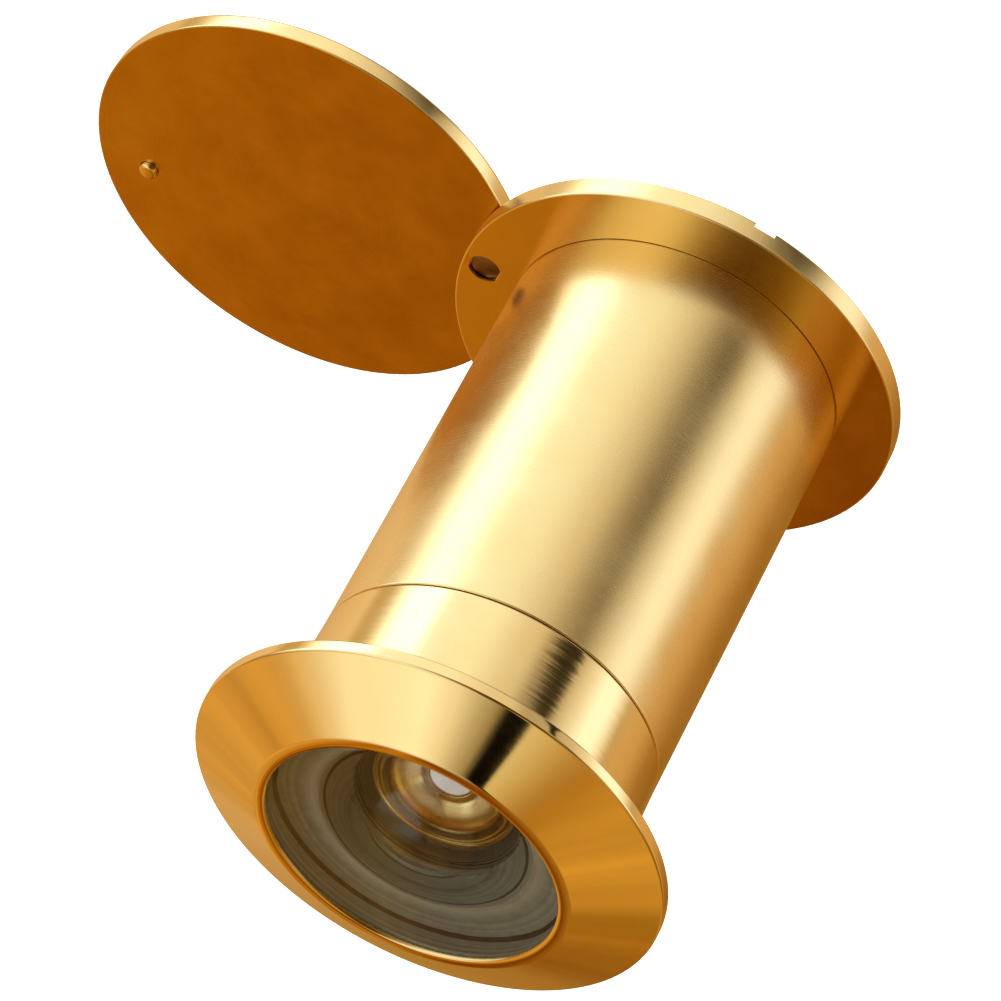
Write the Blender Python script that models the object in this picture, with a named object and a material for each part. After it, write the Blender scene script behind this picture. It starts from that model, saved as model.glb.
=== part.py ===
"""Door viewer with a swing cover: a lens barrel that screws into an indoor barrel.

Units are metres, +Z is up. The barrel lies along +Y: the bezel with its glass faces -Y (outdoors)
and the flange with the swing cover faces +Y (indoors). The origin is on the barrel's axis, in the
plane of the bezel's back face, which is the face that rests on the door.

Everything is turned about the empty "barrel_axis". In its frame the axis is local z, so the heights
below are distances along the barrel from the bezel's back face.
"""

import math

import bmesh
import bpy

MM = 0.001

# Round faces: sides of the large circles and of the small ones.
LARGE_SIDES = 40
SMALL_SIDES = 24

# Outdoor bezel and collar.
BARREL_RADIUS = 13.0 * MM
BEZEL_RADIUS = 17.7 * MM
RIM_THICKNESS = 0.95 * MM
CONE_HEIGHT = 2.95 * MM
LIP_OUTER_RADIUS = 11.7 * MM
LIP_INNER_RADIUS = 11.0 * MM
LIP_THICKNESS = 0.3 * MM
LIP_PLANE = -(RIM_THICKNESS + CONE_HEIGHT)
COLLAR_BASE_RADIUS = 13.25 * MM
COLLAR_LENGTH = 9.65 * MM
EDGE_BREAK = 0.15 * MM

# Screw joint between the two barrels.
THREAD_PITCH = 1.5 * MM
MALE_CREST_RADIUS = 11.9 * MM
MALE_ROOT_RADIUS = 11.2 * MM
FEMALE_CREST_RADIUS = 11.4 * MM
FEMALE_ROOT_RADIUS = 12.1 * MM
MALE_CREST_WIDTH = 0.35 * MM
FLANK_SLOPE = 0.5
FLANK_CLEARANCE = 0.12 * MM
MALE_TURNS = 10
FEMALE_TURNS = 5
THREAD_START = 11.2 * MM
THREAD_FADE_TURNS = 0.5
SPIGOT_END = 28.0 * MM
SEAM_GAP = 0.1 * MM

# Lens stack in the outdoor barrel, all of it dropped in behind the rolled lip.
FIT = 0.05 * MM
FRONT_SEAT_RADIUS = 11.35 * MM
FRONT_SEAT_END = 1.85 * MM
LENS_BORE_RADIUS = 10.0 * MM
LENS_RIB_PLANE = 11.2 * MM
LENS_RIB_THICKNESS = 0.8 * MM
LENS_RIB_RADIUS = 8.6 * MM
FRONT_DOME_CURVE = 90.0 * MM
FRONT_BOWL_CURVE = 9.0 * MM
FRONT_BOWL_RADIUS = 8.0 * MM
SECOND_BOWL_CURVE = 17.0 * MM
SECOND_BOWL_RADIUS = 9.3 * MM
THIRD_BOWL_CURVE = 20.0 * MM
THIRD_BOWL_RADIUS = 9.0 * MM
LENS_CENTRE_THICKNESS = 1.2 * MM
SPACER_THICKNESS = 1.0 * MM
FRONT_SPACER_HOLE = 8.6 * MM
REAR_SPACER_HOLE = 9.2 * MM

# Indoor barrel and flange.
FLANGE_FRONT = 44.4 * MM
FLANGE_RADIUS = 17.5 * MM
FLANGE_THICKNESS = 1.7 * MM
FLANGE_REAR = FLANGE_FRONT + FLANGE_THICKNESS
FLANGE_WINDOW_RADIUS = 9.3 * MM
TENON_RADIUS = 11.6 * MM
TENON_LENGTH = 0.75 * MM
TUBE_SEAT_RADIUS = 13.15 * MM
TUBE_SEAT_DEPTH = 0.1 * MM
RELIEF_END = 29.5 * MM
BARREL_BORE_RADIUS = 11.3 * MM
EYEPIECE_RIB_PLANE = 38.0 * MM
EYEPIECE_RIB_THICKNESS = 1.0 * MM
EYEPIECE_RIB_RADIUS = 9.6 * MM
EYEPIECE_BORE_RADIUS = 10.4 * MM
SLOT_WIDTH = 1.7 * MM
SLOT_DEPTH = 0.45 * MM
SLOT_ANGLE = math.radians(-69.0)

# Eyepiece.
EYEPIECE_RADIUS = EYEPIECE_BORE_RADIUS - FIT
EYEPIECE_CURVE = 60.0 * MM
EYEPIECE_DOME_RADIUS = 9.3 * MM
EYEPIECE_EDGE = 1.6 * MM
RING_LENGTH = 2.0 * MM
RING_HOLE_RADIUS = 9.0 * MM
SPANNER_SLOT_WIDTH = 1.2 * MM
SPANNER_SLOT_DEPTH = 0.8 * MM

# Swing cover, its rivet and its stop peg.
PIVOT_RADIUS = 15.7 * MM
PIVOT_ANGLE = math.radians(-163.9)
COVER_RADIUS = 17.8 * MM
COVER_THICKNESS = 1.4 * MM
COVER_GAP = 0.5 * MM
COVER_ARM = 16.0 * MM
COVER_ANGLE = math.radians(-189.2)
COVER_LEAN = math.radians(2.0)
COVER_HOLE_RADIUS = 1.1 * MM
SHANK_RADIUS = 0.9 * MM
FLANGE_HOLE_RADIUS = 1.0 * MM
TAIL_RADIUS = 1.15 * MM
TAIL_THICKNESS = 0.35 * MM
TAIL_POCKET_RADIUS = 1.3 * MM
TAIL_POCKET_DEPTH = 0.55 * MM
HEAD_RADIUS = 1.6 * MM
HEAD_HEIGHT = 0.7 * MM
HEAD_GAP = 0.12 * MM
WASHER_RADIUS = 1.7 * MM
WASHER_THICKNESS = 0.15 * MM
WASHER_DISH = 0.2 * MM
PEG_ARM = 29.7 * MM
PEG_RADIUS = 0.75 * MM
PEG_HEIGHT = 0.45 * MM
PEG_HOLE_DEPTH = 0.7 * MM
DIMPLE_RADIUS = 1.1 * MM
DIMPLE_DEPTH = 0.5 * MM


def clear_scene():
    for obj in list(bpy.data.objects):
        bpy.data.objects.remove(obj, do_unlink=True)


def make_material(name, colour, roughness, metallic):
    material = bpy.data.materials.new(name)
    material.use_nodes = True
    shader = material.node_tree.nodes["Principled BSDF"]
    shader.inputs["Base Color"].default_value = (*colour, 1.0)
    shader.inputs["Roughness"].default_value = roughness
    shader.inputs["Metallic"].default_value = metallic
    material.diffuse_color = (*colour, 1.0)
    return material


def polished_gold(name):
    return make_material(name, (0.89, 0.60, 0.20), 0.18, 1.0)


def satin_gold(name):
    return make_material(name, (0.88, 0.66, 0.33), 0.38, 1.0)


def grey_plastic(name):
    return make_material(name, (0.30, 0.29, 0.24), 0.6, 0.0)


def spring_steel(name):
    return make_material(name, (0.62, 0.62, 0.60), 0.35, 1.0)


def clear_glass(name):
    material = make_material(name, (0.93, 0.96, 0.93), 0.02, 0.0)
    shader = material.node_tree.nodes["Principled BSDF"]
    shader.inputs["Transmission Weight"].default_value = 1.0
    shader.inputs["IOR"].default_value = 1.52
    return material


def make_empty(name, parent=None, location=(0, 0, 0), rotation=(0, 0, 0)):
    empty = bpy.data.objects.new(name, None)
    bpy.context.scene.collection.objects.link(empty)
    empty.parent = parent
    empty.location = location
    empty.rotation_euler = rotation
    return empty


def finish(name, bm, material, parent, location=(0, 0, 0), rotation=(0, 0, 0)):
    """Closes the mesh's normals, shades it smooth round the turned faces and puts it in the scene."""
    bmesh.ops.recalc_face_normals(bm, faces=bm.faces[:])
    mesh = bpy.data.meshes.new(name)
    bm.to_mesh(mesh)
    bm.free()
    mesh.shade_smooth()
    mesh.set_sharp_from_angle(angle=math.radians(30))
    if material:
        mesh.materials.append(material)
    obj = bpy.data.objects.new(name, mesh)
    bpy.context.scene.collection.objects.link(obj)
    obj.parent = parent
    obj.location = location
    obj.rotation_euler = rotation
    return obj


def spin_profile(bm, profile, sides, closed):
    """Turns a profile of (radius, height) points about local z."""
    verts = [bm.verts.new((radius, 0, height)) for radius, height in profile]
    edges = [bm.edges.new(pair) for pair in zip(verts, verts[1:])]
    if closed:
        edges.append(bm.edges.new((verts[-1], verts[0])))
    bmesh.ops.spin(bm, geom=verts + edges, cent=(0, 0, 0), axis=(0, 0, 1), angle=math.tau, steps=sides)
    bmesh.ops.remove_doubles(bm, verts=bm.verts[:], dist=0.001 * MM)


def turned_ring(profile, sides=LARGE_SIDES):
    """A ring: the profile is a closed loop that stays off the axis."""
    bm = bmesh.new()
    spin_profile(bm, profile, sides, closed=True)
    return bm


def turned_solid(profile, sides=LARGE_SIDES):
    """A solid of revolution: the profile starts and ends on the axis."""
    bm = bmesh.new()
    spin_profile(bm, profile, sides, closed=False)
    return bm


def cylinder(radius, bottom, top, sides=SMALL_SIDES):
    return turned_solid([(0, bottom), (radius, bottom), (radius, top), (0, top)], sides)


def sagitta(curve, rim_radius):
    return curve - math.sqrt(curve**2 - rim_radius**2)


def dome_points(curve, rim_radius, rim_height, rise, steps):
    """Points of a spherical cap from the axis out to its rim. rise is +1 if its middle is the higher."""
    radii = [rim_radius * index / steps for index in range(steps + 1)]
    drop = sagitta(curve, rim_radius)
    return [(radius, rim_height + rise * (drop - sagitta(curve, radius))) for radius in radii]


def cutter(name, bm, parent, location=(0, 0, 0), rotation=(0, 0, 0)):
    obj = finish(name, bm, None, parent, location, rotation)
    obj.hide_render = True
    obj.display_type = "WIRE"
    return obj


def cut(obj, tool):
    modifier = obj.modifiers.new("cut_" + tool.name, "BOOLEAN")
    modifier.operation = "DIFFERENCE"
    modifier.solver = "EXACT"
    modifier.object = tool


def box(size_x, size_y, bottom, top):
    bm = bmesh.new()
    bmesh.ops.create_cube(bm, size=1)
    bmesh.ops.scale(bm, vec=(size_x, size_y, top - bottom), verts=bm.verts[:])
    bmesh.ops.translate(bm, vec=(0, 0, (top + bottom) / 2), verts=bm.verts[:])
    return bm


def ring_of_verts(bm, radius, height, sides=LARGE_SIDES):
    steps = [math.tau * index / sides for index in range(sides)]
    return [bm.verts.new((radius * math.cos(a), radius * math.sin(a), height)) for a in steps]


def thread_fade(turn, turns):
    """Share of the full ridge height: the thread grows out of the wall at each end."""
    return max(0.0, min(1.0, turn / THREAD_FADE_TURNS, (turns - turn) / THREAD_FADE_TURNS))


def thread_lines(bm, wall_radius, crest_radius, base_width, crest_width, start, turns):
    """The four helical edges of one right-hand ridge: base, crest, crest and base."""
    flank = (base_width - crest_width) / 2
    offsets = (0, flank, flank + crest_width, base_width)
    lines = []
    for place, offset in enumerate(offsets):
        on_crest = place in (1, 2)
        line = []
        for step in range(turns * LARGE_SIDES + 1):
            turn = step / LARGE_SIDES
            height = start + offset + THREAD_PITCH * turn
            rise = thread_fade(turn, turns) if on_crest else 0.0
            radius = wall_radius + (crest_radius - wall_radius) * rise
            angle = math.tau * turn
            line.append(bm.verts.new((radius * math.cos(angle), radius * math.sin(angle), height)))
        lines.append(line)
    return lines


def threaded_wall(bm, low_ring, high_ring, lines, turns):
    """Skins the wall between two rings, with the ridge winding up it."""
    sides = LARGE_SIDES
    total = turns * sides
    for lower, upper in zip(lines, lines[1:]):
        for step in range(total):
            bm.faces.new((lower[step], upper[step], upper[step + 1], lower[step + 1]))
    base, top = lines[0], lines[-1]
    for step in range(total - sides):
        bm.faces.new((top[step], base[step + sides], base[step + sides + 1], top[step + 1]))
    for step in range(sides - 1):
        bm.faces.new((low_ring[step], base[step], base[step + 1], low_ring[step + 1]))
    start_edge = [base[sides], *(line[0] for line in reversed(lines)), low_ring[0], low_ring[-1]]
    for first, second in zip(start_edge, start_edge[1:]):
        bm.faces.new((base[sides - 1], first, second))
    last_turn = total - sides
    for step in range(1, sides):
        after = (step + 1) % sides
        bm.faces.new((top[last_turn + step], high_ring[step], high_ring[after], top[last_turn + step + 1]))
    end_edge = [top[last_turn], *(line[total] for line in lines), high_ring[0], high_ring[1]]
    for first, second in zip(end_edge, end_edge[1:]):
        bm.faces.new((top[last_turn + 1], first, second))


def skin(bm, profile):
    """Rings at each (radius, height) of an open profile, with faces between neighbours."""
    rings = [ring_of_verts(bm, radius, height) for radius, height in profile]
    for low, high in zip(rings, rings[1:]):
        for index in range(LARGE_SIDES):
            after = (index + 1) % LARGE_SIDES
            bm.faces.new((low[index], low[after], high[after], high[index]))
    return rings[0], rings[-1]


def male_ridge_width():
    return MALE_CREST_WIDTH + 2 * FLANK_SLOPE * (MALE_CREST_RADIUS - MALE_ROOT_RADIUS)


def female_widths():
    """Base and crest width of the indoor barrel's ridge, which runs midway between the male turns."""
    male_at_female_base = MALE_CREST_WIDTH - 2 * FLANK_SLOPE * (FEMALE_ROOT_RADIUS - MALE_CREST_RADIUS)
    base = THREAD_PITCH - 2 * FLANK_CLEARANCE - male_at_female_base
    crest = base - 2 * FLANK_SLOPE * (FEMALE_ROOT_RADIUS - FEMALE_CREST_RADIUS)
    return base, crest


def make_outdoor_barrel(axis):
    """Bezel, collar and threaded spigot, turned in one piece. The bore holds the lens stack."""
    shoulder = COLLAR_LENGTH
    bore = [
        (MALE_ROOT_RADIUS - EDGE_BREAK, SPIGOT_END),
        (LENS_BORE_RADIUS + EDGE_BREAK, SPIGOT_END),
        (LENS_BORE_RADIUS, SPIGOT_END - EDGE_BREAK),
        (LENS_BORE_RADIUS, LENS_RIB_PLANE + LENS_RIB_THICKNESS),
        (LENS_RIB_RADIUS, LENS_RIB_PLANE + LENS_RIB_THICKNESS),
        (LENS_RIB_RADIUS, LENS_RIB_PLANE),
        (LENS_BORE_RADIUS, LENS_RIB_PLANE),
        (LENS_BORE_RADIUS, FRONT_SEAT_END),
        (FRONT_SEAT_RADIUS, FRONT_SEAT_END),
        (FRONT_SEAT_RADIUS, LIP_PLANE + LIP_THICKNESS),
        (LIP_INNER_RADIUS, LIP_PLANE + LIP_THICKNESS),
    ]
    outside = [
        (LIP_INNER_RADIUS, LIP_PLANE + EDGE_BREAK / 2),
        (LIP_INNER_RADIUS + EDGE_BREAK / 2, LIP_PLANE),
        (LIP_OUTER_RADIUS, LIP_PLANE),
        (BEZEL_RADIUS - EDGE_BREAK, -RIM_THICKNESS - EDGE_BREAK / 2),
        (BEZEL_RADIUS, -RIM_THICKNESS + EDGE_BREAK),
        (BEZEL_RADIUS, -EDGE_BREAK),
        (BEZEL_RADIUS - EDGE_BREAK, 0),
        (COLLAR_BASE_RADIUS, 0),
        (BARREL_RADIUS, shoulder - 2 * EDGE_BREAK),
        (BARREL_RADIUS - 2 * EDGE_BREAK, shoulder),
        (MALE_ROOT_RADIUS, shoulder),
    ]
    profile = [(MALE_ROOT_RADIUS, SPIGOT_END - EDGE_BREAK), *bore, *outside]
    bm = bmesh.new()
    high_ring, low_ring = skin(bm, profile)
    lines = thread_lines(
        bm,
        MALE_ROOT_RADIUS,
        MALE_CREST_RADIUS,
        male_ridge_width(),
        MALE_CREST_WIDTH,
        THREAD_START,
        MALE_TURNS,
    )
    threaded_wall(bm, low_ring, high_ring, lines, MALE_TURNS)
    return finish("outdoor_barrel", bm, polished_gold("bezel_gold"), axis)


def make_front_lens(axis):
    """Meniscus: a slightly domed front and a deep bowl behind, held by the rolled lip."""
    edge_radius = FRONT_SEAT_RADIUS - FIT
    front_edge = LIP_PLANE + LIP_THICKNESS + FIT
    rear_face = FRONT_SEAT_END - FIT
    bowl = dome_points(FRONT_BOWL_CURVE, FRONT_BOWL_RADIUS, rear_face, -1, steps=7)
    front = dome_points(FRONT_DOME_CURVE, LIP_INNER_RADIUS - FIT, front_edge, -1, steps=4)
    profile = [*front, (edge_radius, front_edge), (edge_radius, rear_face), *reversed(bowl)]
    return finish("front_lens", turned_solid(profile), clear_glass("front_glass"), axis)


def make_bowl_lens(name, axis, front_face, bowl_curve, bowl_radius):
    """Flat front and bowl behind. Returns the height of its rear face."""
    edge_radius = LENS_BORE_RADIUS - FIT
    rear_face = front_face + LENS_CENTRE_THICKNESS + sagitta(bowl_curve, bowl_radius)
    bowl = dome_points(bowl_curve, bowl_radius, rear_face, -1, steps=6)
    profile = [(0, front_face), (edge_radius, front_face), (edge_radius, rear_face), *reversed(bowl)]
    finish(name, turned_solid(profile), clear_glass(name + "_glass"), axis)
    return rear_face


def make_spacer(name, axis, front_face, thickness, hole_radius, material):
    profile = [
        (hole_radius, front_face),
        (LENS_BORE_RADIUS - FIT, front_face),
        (LENS_BORE_RADIUS - FIT, front_face + thickness),
        (hole_radius, front_face + thickness),
    ]
    finish(name, turned_ring(profile), material, axis)


def make_lens_stack(axis):
    make_front_lens(axis)
    spacer_face = FRONT_SEAT_END + FIT
    plastic = grey_plastic("front_spacer_plastic")
    make_spacer("front_spacer", axis, spacer_face, SPACER_THICKNESS, FRONT_SPACER_HOLE, plastic)
    second_face = spacer_face + SPACER_THICKNESS + FIT
    second_rear = make_bowl_lens("second_lens", axis, second_face, SECOND_BOWL_CURVE, SECOND_BOWL_RADIUS)
    third_sag = sagitta(THIRD_BOWL_CURVE, THIRD_BOWL_RADIUS)
    third_face = LENS_RIB_PLANE - FIT - third_sag - LENS_CENTRE_THICKNESS
    rear_spacer_face = second_rear + FIT
    rear_thickness = third_face - FIT - rear_spacer_face
    brass = satin_gold("rear_spacer_brass")
    make_spacer("rear_spacer", axis, rear_spacer_face, rear_thickness, REAR_SPACER_HOLE, brass)
    make_bowl_lens("third_lens", axis, third_face, THIRD_BOWL_CURVE, THIRD_BOWL_RADIUS)


def make_indoor_barrel(axis):
    """Satin tube with the female thread at its mouth, the eyepiece seat and a tenon for the flange."""
    mouth = COLLAR_LENGTH + SEAM_GAP
    tube_end = FLANGE_FRONT + TUBE_SEAT_DEPTH - FIT
    tenon_end = tube_end + TENON_LENGTH
    rib_rear = EYEPIECE_RIB_PLANE + EYEPIECE_RIB_THICKNESS
    base_width, crest_width = female_widths()
    profile = [
        (FEMALE_ROOT_RADIUS, mouth),
        (BARREL_RADIUS - EDGE_BREAK, mouth),
        (BARREL_RADIUS, mouth + 2 * EDGE_BREAK),
        (BARREL_RADIUS, tube_end - EDGE_BREAK),
        (BARREL_RADIUS - EDGE_BREAK, tube_end),
        (TENON_RADIUS, tube_end),
        (TENON_RADIUS, tenon_end),
        (EYEPIECE_BORE_RADIUS, tenon_end),
        (EYEPIECE_BORE_RADIUS, rib_rear),
        (EYEPIECE_RIB_RADIUS, rib_rear),
        (EYEPIECE_RIB_RADIUS, EYEPIECE_RIB_PLANE),
        (BARREL_BORE_RADIUS, EYEPIECE_RIB_PLANE),
        (BARREL_BORE_RADIUS, RELIEF_END),
        (FEMALE_ROOT_RADIUS, RELIEF_END),
    ]
    ridge_shift = (THREAD_PITCH + male_ridge_width() - base_width) / 2
    bm = bmesh.new()
    low_ring, high_ring = skin(bm, profile)
    lines = thread_lines(
        bm,
        FEMALE_ROOT_RADIUS,
        FEMALE_CREST_RADIUS,
        base_width,
        crest_width,
        THREAD_START + ridge_shift,
        FEMALE_TURNS,
    )
    threaded_wall(bm, low_ring, high_ring, lines, FEMALE_TURNS)
    return finish("indoor_barrel", bm, satin_gold("tube_gold"), axis)


def on_circle(radius, angle):
    return radius * math.cos(angle), radius * math.sin(angle)


def pivot_point(height):
    return (*on_circle(PIVOT_RADIUS, PIVOT_ANGLE), height)


def make_indoor_flange(axis):
    """Plate on the tube's tenon, with a coin slot behind, the rivet's hole and the peg's dimple.

    The tube's end stands in a shallow seat, so the face round it is the one that lies on the door.
    """
    tenon_bore = TENON_RADIUS + FIT
    seat_floor = FLANGE_FRONT + TUBE_SEAT_DEPTH
    bore_floor = seat_floor + TENON_LENGTH
    profile = [
        (tenon_bore, seat_floor),
        (TUBE_SEAT_RADIUS, seat_floor),
        (TUBE_SEAT_RADIUS, FLANGE_FRONT),
        (FLANGE_RADIUS - EDGE_BREAK, FLANGE_FRONT),
        (FLANGE_RADIUS, FLANGE_FRONT + EDGE_BREAK),
        (FLANGE_RADIUS, FLANGE_REAR - EDGE_BREAK),
        (FLANGE_RADIUS - EDGE_BREAK, FLANGE_REAR),
        (FLANGE_WINDOW_RADIUS + EDGE_BREAK, FLANGE_REAR),
        (FLANGE_WINDOW_RADIUS, FLANGE_REAR - EDGE_BREAK),
        (FLANGE_WINDOW_RADIUS, bore_floor),
        (tenon_bore, bore_floor),
    ]
    flange = finish("indoor_flange", turned_ring(profile), polished_gold("flange_gold"), axis)
    over = 1.0 * MM
    slot = box(2 * FLANGE_RADIUS + over, SLOT_WIDTH, FLANGE_REAR - SLOT_DEPTH, FLANGE_REAR + over)
    cut(flange, cutter("slot_cutter", slot, axis, rotation=(0, 0, SLOT_ANGLE)))
    hole = cylinder(FLANGE_HOLE_RADIUS, -over, FLANGE_THICKNESS + over)
    cut(flange, cutter("rivet_hole_cutter", hole, axis, pivot_point(FLANGE_FRONT)))
    pocket = cylinder(TAIL_POCKET_RADIUS, -over, TAIL_POCKET_DEPTH)
    cut(flange, cutter("tail_pocket_cutter", pocket, axis, pivot_point(FLANGE_FRONT)))
    dimple = cylinder(DIMPLE_RADIUS, -DIMPLE_DEPTH, over)
    dimple_x, dimple_y = on_circle(PEG_ARM - PIVOT_RADIUS, PIVOT_ANGLE + math.pi)
    cut(flange, cutter("dimple_cutter", dimple, axis, (dimple_x, dimple_y, FLANGE_REAR)))
    return flange


def make_eyepiece(axis):
    """Double-convex lens against the rib, and the ring with two spanner slots behind it."""
    front = EYEPIECE_RIB_PLANE + EYEPIECE_RIB_THICKNESS + FIT
    rear = front + EYEPIECE_EDGE
    front_dome = dome_points(EYEPIECE_CURVE, EYEPIECE_DOME_RADIUS, front, -1, steps=4)
    rear_dome = dome_points(EYEPIECE_CURVE, EYEPIECE_DOME_RADIUS, rear, 1, steps=4)
    profile = [*front_dome, (EYEPIECE_RADIUS, front), (EYEPIECE_RADIUS, rear), *reversed(rear_dome)]
    finish("eyepiece_lens", turned_solid(profile), clear_glass("eyepiece_glass"), axis)

    ring_front = rear + FIT
    ring_rear = ring_front + RING_LENGTH
    profile = [
        (RING_HOLE_RADIUS + EDGE_BREAK, ring_front),
        (EYEPIECE_RADIUS, ring_front),
        (EYEPIECE_RADIUS, ring_rear),
        (RING_HOLE_RADIUS + 2 * EDGE_BREAK, ring_rear),
        (RING_HOLE_RADIUS, ring_rear - 2 * EDGE_BREAK),
        (RING_HOLE_RADIUS, ring_front + EDGE_BREAK),
    ]
    ring = finish("eyepiece_ring", turned_ring(profile), polished_gold("ring_gold"), axis)
    slot_floor = ring_rear - SPANNER_SLOT_DEPTH
    slot = box(3 * EYEPIECE_RADIUS, SPANNER_SLOT_WIDTH, slot_floor, ring_rear + 1.0 * MM)
    cut(ring, cutter("spanner_slot_cutter", slot, axis, rotation=(0, 0, SLOT_ANGLE)))


def make_pivot_rivet(axis):
    """Domed head behind the cover, shank, and the tail peened over in the flange's pocket."""
    tail_front = TAIL_POCKET_DEPTH - FIT - TAIL_THICKNESS
    tail_rear = TAIL_POCKET_DEPTH - FIT
    head_front = FLANGE_THICKNESS + COVER_GAP + COVER_THICKNESS + HEAD_GAP
    dome_curve = (HEAD_RADIUS**2 + HEAD_HEIGHT**2) / (2 * HEAD_HEIGHT)
    dome = dome_points(dome_curve, HEAD_RADIUS, head_front + EDGE_BREAK, 1, steps=4)
    profile = [
        (0, tail_front),
        (TAIL_RADIUS - EDGE_BREAK, tail_front),
        (TAIL_RADIUS, tail_front + EDGE_BREAK),
        (TAIL_RADIUS, tail_rear),
        (SHANK_RADIUS, tail_rear),
        (SHANK_RADIUS, head_front),
        (HEAD_RADIUS, head_front),
        *reversed(dome),
    ]
    bm = turned_solid(profile, SMALL_SIDES)
    finish("pivot_rivet", bm, polished_gold("rivet_gold"), axis, pivot_point(FLANGE_FRONT))


def make_spring_washer(axis):
    """Dished washer that takes up the play between the flange and the cover."""
    hole_radius = SHANK_RADIUS + 3 * FIT
    profile = [
        (hole_radius, WASHER_DISH),
        (WASHER_RADIUS, 0),
        (WASHER_RADIUS, WASHER_THICKNESS),
        (hole_radius, WASHER_DISH + WASHER_THICKNESS),
    ]
    bm = turned_ring(profile, SMALL_SIDES)
    finish("spring_washer", bm, spring_steel("washer_steel"), axis, pivot_point(FLANGE_REAR + FIT))


def make_cover(pivot):
    """Round cover that hangs on the rivet near its edge. Its local x runs from the pivot to its middle."""
    profile = [
        (0, 0),
        (COVER_RADIUS - EDGE_BREAK, 0),
        (COVER_RADIUS, EDGE_BREAK),
        (COVER_RADIUS, COVER_THICKNESS - 2 * EDGE_BREAK),
        (COVER_RADIUS - 2 * EDGE_BREAK, COVER_THICKNESS),
        (0, COVER_THICKNESS),
    ]
    bm = turned_solid(profile)
    bmesh.ops.translate(bm, vec=(COVER_ARM, 0, 0), verts=bm.verts[:])
    cover = finish("cover", bm, polished_gold("cover_gold"), pivot)
    over = 1.0 * MM
    hole = cylinder(COVER_HOLE_RADIUS, -over, COVER_THICKNESS + over)
    cut(cover, cutter("cover_hole_cutter", hole, pivot))
    peg_hole = cylinder(PEG_RADIUS + FIT, -over, PEG_HOLE_DEPTH)
    cut(cover, cutter("peg_hole_cutter", peg_hole, pivot, (PEG_ARM, 0, 0)))


def make_cover_peg(pivot):
    """Small stop peg pressed into the cover's inner face."""
    tip = -PEG_HEIGHT
    profile = [
        (0, tip),
        (PEG_RADIUS - EDGE_BREAK, tip),
        (PEG_RADIUS, tip + EDGE_BREAK),
        (PEG_RADIUS, PEG_HOLE_DEPTH - FIT),
        (0, PEG_HOLE_DEPTH - FIT),
    ]
    bm = turned_solid(profile, SMALL_SIDES)
    finish("cover_peg", bm, polished_gold("peg_gold"), pivot, (PEG_ARM, 0, 0))


def main():
    clear_scene()
    axis = make_empty("barrel_axis", rotation=(-math.pi / 2, 0, 0))
    make_outdoor_barrel(axis)
    make_lens_stack(axis)
    make_indoor_barrel(axis)
    make_indoor_flange(axis)
    make_eyepiece(axis)
    make_pivot_rivet(axis)
    make_spring_washer(axis)
    pivot = make_empty(
        "cover_pivot", axis, pivot_point(FLANGE_REAR + COVER_GAP), rotation=(0, -COVER_LEAN, COVER_ANGLE)
    )
    make_cover(pivot)
    make_cover_peg(pivot)


main()
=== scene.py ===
"""Looks of the door viewer: fine turned pieces in gold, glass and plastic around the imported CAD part.

Metres, +Z up. The barrel lies along +Y, with the bezel at -Y and the swing cover at +Y. Each piece is
turned about its own local z, which the matrices below lay along the barrel or along the rivet.
"""

import math

import bmesh
import bpy
from mathutils import Matrix, Vector

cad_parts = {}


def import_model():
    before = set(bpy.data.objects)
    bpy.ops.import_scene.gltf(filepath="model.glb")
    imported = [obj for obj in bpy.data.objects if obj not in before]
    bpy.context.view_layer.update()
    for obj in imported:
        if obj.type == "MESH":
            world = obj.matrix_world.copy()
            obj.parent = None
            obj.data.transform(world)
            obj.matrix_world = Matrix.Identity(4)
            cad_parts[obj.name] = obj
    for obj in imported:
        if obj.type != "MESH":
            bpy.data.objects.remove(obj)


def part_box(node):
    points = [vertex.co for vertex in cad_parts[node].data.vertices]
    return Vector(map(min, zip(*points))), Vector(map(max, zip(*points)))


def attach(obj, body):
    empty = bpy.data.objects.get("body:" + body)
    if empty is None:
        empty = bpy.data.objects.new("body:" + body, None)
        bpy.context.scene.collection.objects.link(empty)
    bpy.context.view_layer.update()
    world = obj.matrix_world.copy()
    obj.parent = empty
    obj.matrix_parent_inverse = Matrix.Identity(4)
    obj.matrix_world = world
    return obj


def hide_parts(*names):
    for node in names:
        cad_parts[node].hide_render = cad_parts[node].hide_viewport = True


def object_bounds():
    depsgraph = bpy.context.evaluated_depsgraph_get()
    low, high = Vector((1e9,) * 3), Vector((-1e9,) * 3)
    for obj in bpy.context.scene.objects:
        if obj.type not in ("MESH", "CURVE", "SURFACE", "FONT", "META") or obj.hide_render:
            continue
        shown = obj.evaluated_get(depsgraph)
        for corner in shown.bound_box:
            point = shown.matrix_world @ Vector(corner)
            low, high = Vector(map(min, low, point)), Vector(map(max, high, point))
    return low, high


MM = 0.001

# Roundness of the fine meshes.
FINE_SIDES = 144
SMALL_SIDES = 64
FILLET_STEPS = 4
SHARP_ANGLE = math.radians(32)
DOME_STEPS = 20
FRONT_BOWL_STEPS = 32
BOWL_STEPS = 28
RIVET_STEPS = 12
TAIL_STEPS = 8
WELD_DISTANCE = 0.002 * MM
SLIT_SIDES = 8
# How far a carving tool reaches past the piece.
OVERSHOOT = 1.0 * MM

# A face's outward share, from 0 on a face square with the axis to 1 on a barrel's outside.
INWARD = 0.3
SLOPING = 0.1
UPRIGHT = 0.9

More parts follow.
